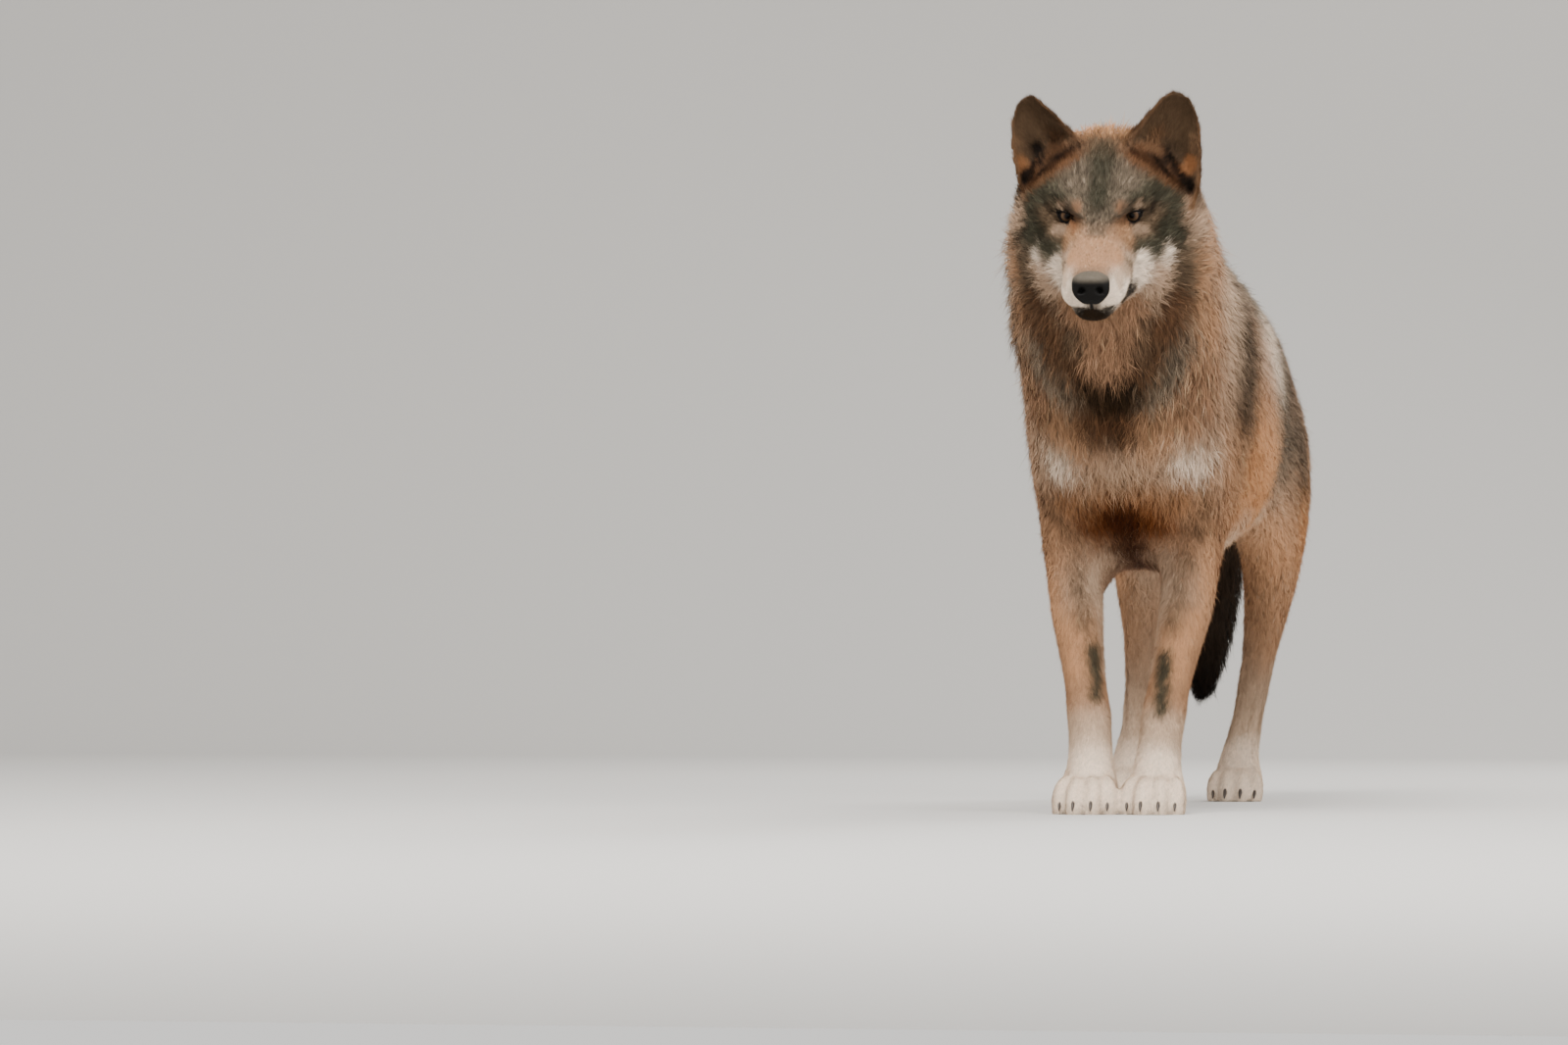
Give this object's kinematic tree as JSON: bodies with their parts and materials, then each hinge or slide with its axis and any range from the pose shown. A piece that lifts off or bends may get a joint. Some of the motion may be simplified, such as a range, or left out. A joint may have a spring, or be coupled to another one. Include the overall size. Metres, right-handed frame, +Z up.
{
  "type": "life-size grey wolf museum model",
  "caption": "Life-size standing grey wolf in winter coat, head turned to the viewer, as a still model in named body parts.",
  "frame": {"origin": "middle of the footprint of the whole animal, on the floor", "axes": "+Z up, the wolf looks along -Y, and its left side is at +X"},
  "size_m": [0.287, 1.166, 0.7954],
  "materials": {
    "trunk": "tawny and grey fur",
    "neck": "grizzled fur",
    "head": "short grizzled fur",
    "nose": "moist black",
    "ear_left": "short dark fur",
    "ear_right": "short dark fur",
    "eye_left": "glossy amber",
    "eye_right": "glossy amber",
    "fore_leg_left": "short tawny fur",
    "fore_leg_right": "short tawny fur",
    "fore_paw_left": "short cream fur",
    "fore_paw_right": "short cream fur",
    "hind_leg_left": "short tawny fur",
    "hind_leg_right": "short tawny fur",
    "hind_paw_left": "short cream fur",
    "hind_paw_right": "short cream fur",
    "tail": "long dark fur"
  },
  "bodies": {
    "root": {"trunk": "trunk", "neck": "neck", "head": "head", "nose": "nose", "ear_left": "ear_left", "ear_right": "ear_right", "eye_left": "eye_left", "eye_right": "eye_right", "fore_leg_left": "fore_leg_left", "fore_leg_right": "fore_leg_right", "fore_paw_left": "fore_paw_left", "fore_paw_right": "fore_paw_right", "hind_leg_left": "hind_leg_left", "hind_leg_right": "hind_leg_right", "hind_paw_left": "hind_paw_left", "hind_paw_right": "hind_paw_right", "tail": "tail"}
  },
  "joints": []
}
